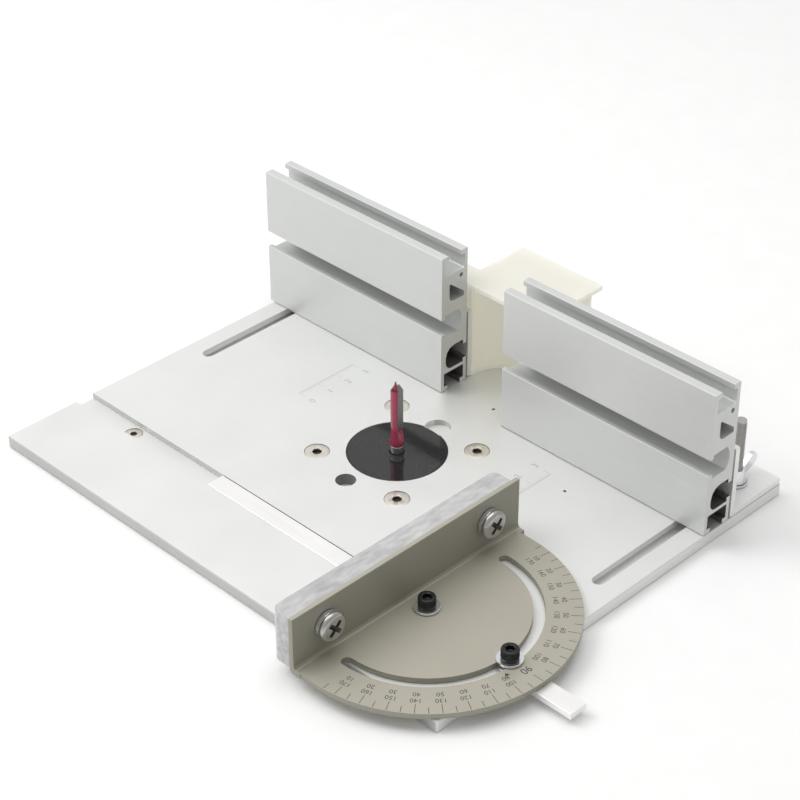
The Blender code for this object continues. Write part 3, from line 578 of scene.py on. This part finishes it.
def cutter_outline(radius, depth):
    """The cutter's section: round, less two opposite pockets, whose depth runs from 0 to 1."""
    inset, lift = 0.35, 0.45
    first = math.acos(inset / radius)
    last = math.pi - math.asin(lift / radius)
    half = [(radius * math.cos(t), radius * math.sin(t)) for t in spaced(first, last, 14)]
    start, end = half[-1], (-inset, -math.sqrt(radius**2 - inset**2))
    corner = (-inset, lift)
    rim = spaced(last, math.pi + first, 10)[1:-1]
    for i, t in enumerate(rim):
        share = (i + 1) / len(rim)
        if share <= 0.5:
            wall = blend_points(start, corner, 2 * share)
        else:
            wall = blend_points(corner, end, 2 * share - 1)
        half.append(blend_points((radius * math.cos(t), radius * math.sin(t)), wall, depth))
    whole = half + [(-u, -v) for u, v in half]
    return [across_bit(u, v) for u, v in whole]


def spaced(first, last, count):
    """Evenly spaced values, both ends among them."""
    return [first + (last - first) * i / (count - 1) for i in range(count)]


def blend_points(first, second, share):
    """The point that lies the given share of the way from first to second."""
    return tuple(a + (b - a) * share for a, b in zip(first, second))


# Fence


def detail_fence(finishes):
    for side in ("left", "right"):
        shade_cavities(eased(f"fence_{side}", finishes, 0.3 * MM), finishes)
        eased(f"fence_bracket_{side}", finishes, 0.4 * MM)
        detail_slot_hardware(side, finishes)
        for place in ("outer", "inner"):
            label = f"{side}_{place}"
            detail_fence_bolt(f"fence_bolt_{label}", finishes)
            eased(f"fence_washer_{label}", finishes, 0.2 * MM)
            eased(f"fence_nut_{label}", finishes, 0.3 * MM)
    eased("dust_guard", finishes, 0.5 * MM)


def shade_cavities(fence, finishes):
    """Paints shade on the walls of the fence's rear and foot slots: a dark finish where little light reaches
    in.
    """
    low = min(corner[1] for corner in fence.bound_box)
    foot = min(corner[2] for corner in fence.bound_box)
    fence.data.materials.append(finishes["cavity_shade"])
    for face in fence.data.polygons:
        y = face.center.y - low
        z = face.center.z - foot
        inside = any(y0 < y < y1 and z0 < z < z1 for (y0, y1), (z0, z1) in (REAR_SLOT, FOOT_SLOT))
        if inside and abs(face.normal.x) < 0.5:
            face.material_index = 1


def detail_fence_bolt(node, finishes):
    """A T-bolt along +Y with a flat head and a real thread."""
    low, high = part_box(node)
    centre = middle(node)
    head = [
        (-6.2 * MM, -3.9 * MM), (-5.6 * MM, -4 * MM), (5.6 * MM, -4 * MM), (6.2 * MM, -3.9 * MM),
        (6.2 * MM, 3.9 * MM), (5.6 * MM, 4 * MM), (-5.6 * MM, 4 * MM), (-6.2 * MM, 3.9 * MM),
    ]
    shape = bmesh.new()
    at = (centre.x, 0, centre.z)
    stack_shape(shape, "y", at, [(head, low.y), (head, low.y + T_HEAD_THICK)])
    stack_shape(shape, "y", at, thread_rings(M6_RADIUS, low.y + 3.5 * MM, high.y))
    piece = add_piece(f"{node}_detail", shape, finishes["zinc"], "fence_carriage")
    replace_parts(piece, node)


def detail_slot_hardware(side, finishes):
    """An upright bolt with a square head, its washer and its wing nut."""
    bolt = f"slot_bolt_{side}"
    low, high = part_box(bolt)
    centre = middle(bolt)
    at = (centre.x, centre.y, 0)
    shape = bmesh.new()
    box_shape(shape, (low.x, low.y, low.z), (high.x, high.y, low.z + SQUARE_HEAD_THICK))
    stack_shape(shape, "z", at, thread_rings(M6_RADIUS, low.z + 2 * MM, high.z))
    piece = add_piece(f"{bolt}_detail", shape, finishes["thread"], "fence_carriage")
    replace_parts(piece, bolt)
    eased(f"slot_washer_{side}", finishes, 0.2 * MM)
    eased(f"wing_nut_{side}", finishes, 0.7 * MM, angle=38)


# Miter gauge


def detail_gauge(finishes):
    eased("miter_bar", finishes, 0.3 * MM)
    protractor = eased("protractor", finishes, 0.3 * MM)
    protractor.data.materials.append(finishes["gauge_side_shade"])
    # The upright faces take the darker copy of the anodising: painted shade on the flange and the rim.
    for face in protractor.data.polygons:
        if abs(face.normal.z) < 0.8:
            face.material_index = 1
    eased("face_pad", finishes, 0.4 * MM)
    for name in ("pivot", "lock"):
        detail_cap_screw(f"{name}_screw", finishes)
        eased(f"{name}_washer", finishes, 0.25 * MM)
    for side in ("front", "rear"):
        detail_pan_screw(f"pad_screw_{side}", finishes)
        eased(f"spring_washer_{side}", finishes, 0.25 * MM)
        eased(f"pad_nut_{side}", finishes, 0.3 * MM)
    detail_protractor_scale(finishes)


def detail_cap_screw(node, finishes):
    """A socket cap screw with a knurled head."""
    low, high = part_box(node)
    centre = middle(node)
    at = (centre.x, centre.y, 0)
    head = CAP_HEAD_RADIUS
    top = high.z
    seat = top - CAP_HEAD_HEIGHT
    stack = [
        (polygon_on_rays(6, 1.3 * MM, CAP_SIDES), top - 2.9 * MM),
        (polygon_on_rays(6, CAP_SOCKET, CAP_SIDES), top - 2.5 * MM),
        (polygon_on_rays(6, CAP_SOCKET, CAP_SIDES), top - 0.3 * MM),
        (circle(2.6 * MM, CAP_SIDES), top),
        (circle(head - 0.7 * MM, CAP_SIDES), top),
        (circle(head - 0.25 * MM, CAP_SIDES), top - 0.2 * MM),
        (circle(head - 0.05 * MM, CAP_SIDES), top - 0.6 * MM),
        (circle(head, CAP_SIDES, CAP_KNURL), top - 0.8 * MM),
        (circle(head, CAP_SIDES, CAP_KNURL), seat + 0.8 * MM),
        (circle(head - 0.05 * MM, CAP_SIDES), seat + 0.6 * MM),
        (circle(head - 0.2 * MM, CAP_SIDES), seat),
        (circle(CAP_SHANK_RADIUS, CAP_SIDES), seat),
        (circle(CAP_SHANK_RADIUS, CAP_SIDES), low.z),
    ]
    turned(f"{node}_detail", node, "z", at, stack, finishes["black_screws"], crease=28)


def detail_pan_screw(node, finishes):
    """A wide pan head with a cross recess, threaded below."""
    low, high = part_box(node)
    centre = middle(node)
    at = (0, centre.y, centre.z)
    head = PAN_HEAD_RADIUS
    face = high.x
    seat = face - PAN_HEAD_HEIGHT
    stack = [
        (circle(head - 0.3 * MM), seat),
        (circle(head), seat + 0.3 * MM),
        (circle(head), seat + 1.1 * MM),
        (circle(head - 0.25 * MM), seat + 1.7 * MM),
        (circle(head - 0.9 * MM), seat + 2.3 * MM),
        (circle(head - 1.6 * MM), seat + 2.65 * MM),
        (circle(head - 2.8 * MM), seat + 2.85 * MM),
        (circle(head - 4.4 * MM), seat + 2.97 * MM),
        (circle(0.3 * MM), face),
    ]
    shape = bmesh.new()
    stack_shape(shape, "x", at, stack)
    piece = add_piece(f"{node}_detail", shape, finishes["pan_head"], "gauge_head", crease=40)
    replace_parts(piece, node)
    cut_cross(piece, face, centre)
    shade_cross(piece, finishes["recess"], face, centre)
    shank = bmesh.new()
    stack_shape(shank, "x", at, thread_rings(M6_RADIUS, low.x, seat + 0.2 * MM))
    add_piece(f"{node}_thread", shank, finishes["zinc"], "gauge_head")


def cut_cross(piece, face, centre):
    """Cuts a tapered cross recess into the piece's face."""
    cross = []
    for arm, half, height in (
        (2.4 * MM, 0.6 * MM, face - CROSS_DEPTH),
        (CROSS_REACH, 1.2 * MM, face + 0.4 * MM),
    ):
        upright = [(arm, half), (half, half), (half, arm), (-half, arm), (-half, half), (-arm, half)]
        upright += [(-u, -v) for u, v in upright]
        diagonal = [((u - v) * math.sqrt(0.5), (u + v) * math.sqrt(0.5)) for u, v in upright]
        cross.append((diagonal, height))
    shape = bmesh.new()
    stack_shape(shape, "x", (0, centre.y, centre.z), cross)
    bmesh.ops.recalc_face_normals(shape, faces=shape.faces)
    mesh = bpy.data.meshes.new("cross")
    shape.to_mesh(mesh)
    shape.free()
    cutter = bpy.data.objects.new("cross", mesh)
    bpy.context.scene.collection.objects.link(cutter)
    recess = piece.modifiers.new("cross", "BOOLEAN")
    recess.solver = "EXACT"
    recess.object = cutter
    graph = bpy.context.evaluated_depsgraph_get()
    cut = bpy.data.meshes.new_from_object(piece.evaluated_get(graph))
    piece.modifiers.clear()
    piece.data = cut
    bpy.data.objects.remove(cutter)


def shade_cross(piece, finish, face, centre):
    """Paints shade in the cross recess: the faces near the head's middle that lie below its dome."""
    piece.data.materials.append(finish)
    underside = PAN_HEAD_HEIGHT - 0.5 * MM
    for polygon in piece.data.polygons:
        depth = face - polygon.center.x
        reach = math.hypot(polygon.center.y - centre.y, polygon.center.z - centre.z)
        if depth < underside and not 0 < depth < PAN_DOME_DEPTH and reach < CROSS_REACH:
            polygon.material_index = 1


def detail_protractor_scale(finishes):
    """Ticks each 5 degrees, two rows of numbers with 90 on the bar's line, and a small arrow."""
    pivot = middle("pivot_screw")
    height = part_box("lock_washer")[0].z - GAP + INK_LIFT
    marks = bmesh.new()

    def spot(angle, radius):
        turn = math.radians(angle)
        return (pivot.x + radius * math.cos(turn), pivot.y + radius * math.sin(turn))

    rim = PROTRACTOR_RIM - RIM_MARGIN
    for step in range(-17, 18):
        angle = step * 5
        length = LONG_TICK if step % 2 == 0 else SHORT_TICK
        add_line(marks, spot(angle, rim - length), spot(angle, rim), height)
    for step in range(-8, 9):
        angle = step * 10
        rows = ((90, MIDDLE_NUMBER),)
        if step:
            rows = ((90 - angle, OUTER_NUMBERS), (90 + angle, INNER_NUMBERS))
        for value, radius in rows:
            place = Matrix.Translation((*spot(angle, radius), height))
            upright = Matrix.Rotation(math.radians(angle - 90), 4, "Z")
            add_text(marks, str(value), NUMBER_SIZE if step else MIDDLE_NUMBER_SIZE, place @ upright)
    arrow = [spot(-8.2, 55.6 * MM), spot(-9.6, 57.4 * MM), spot(-6.8, 57.6 * MM)]
    marks.faces.new([marks.verts.new((*corner, height)) for corner in arrow])
    add_piece("protractor_scale", marks, finishes["ink"], "gauge_head")


# Studio


def add_studio(finishes):
    """A pale floor, the sky and the lamps."""
    shape = bmesh.new()
    reach = FLOOR_REACH
    corners = [(-reach, -reach), (reach, -reach), (reach, reach), (-reach, reach)]
    shape.faces.new([shape.verts.new((x, y, FLOOR_LEVEL)) for x, y in corners])
    mesh = bpy.data.meshes.new("floor")
    shape.to_mesh(mesh)
    shape.free()
    mesh.materials.append(finishes["floor"])
    floor = bpy.data.objects.new("floor", mesh)
    bpy.context.scene.collection.objects.link(floor)
    add_sky()
    for name, place, size, power in LIGHTS:
        add_light(name, place, size, power)
    bpy.context.scene.view_settings.view_transform = "Standard"


def add_sky():
    """Even studio walls, bright on the object's left and dimmer on its right."""
    world = bpy.data.worlds.new("studio")
    world.use_nodes = True
    nodes = world.node_tree.nodes
    links = world.node_tree.links
    nodes["Background"].inputs["Color"].default_value = (1, 1, 1, 1)
    place = nodes.new("ShaderNodeTexCoord")
    parts = nodes.new("ShaderNodeSeparateXYZ")
    links.new(place.outputs["Generated"], parts.inputs["Vector"])
    fade = nodes.new("ShaderNodeMapRange")
    fade.inputs["From Min"].default_value = SKY_SPAN[0]
    fade.inputs["From Max"].default_value = SKY_SPAN[1]
    fade.inputs["To Min"].default_value = SKY_BRIGHT
    fade.inputs["To Max"].default_value = SKY_DIM
    links.new(parts.outputs["X"], fade.inputs["Value"])
    links.new(fade.outputs["Result"], nodes["Background"].inputs["Strength"])
    bpy.context.scene.world = world


def add_light(name, place, size, power):
    """A round lamp that faces the origin."""
    lamp = bpy.data.lights.new(name, "AREA")
    lamp.shape = "DISK"
    lamp.size = size
    lamp.energy = power
    light = bpy.data.objects.new(name, lamp)
    light.location = place
    light.rotation_euler = (-Vector(place)).to_track_quat("-Z", "Y").to_euler()
    bpy.context.scene.collection.objects.link(light)


def add_camera():
    azimuth = math.radians(CAMERA_AZIMUTH)
    elevation = math.radians(CAMERA_ELEVATION)
    level = math.cos(elevation)
    back = Vector((math.sin(azimuth) * level, -math.cos(azimuth) * level, math.sin(elevation)))
    lens = bpy.data.cameras.new("camera")
    lens.lens = CAMERA_LENS
    lens.shift_x, lens.shift_y = CAMERA_SHIFT
    camera = bpy.data.objects.new("camera", lens)
    camera.location = CAMERA_AT
    camera.rotation_euler = (-back).to_track_quat("-Z", "Y").to_euler()
    bpy.context.scene.collection.objects.link(camera)
    bpy.context.scene.camera = camera


finishes = make_finishes()
detail_table(finishes)
detail_bit(finishes)
detail_fence(finishes)
detail_gauge(finishes)
add_studio(finishes)
add_camera()
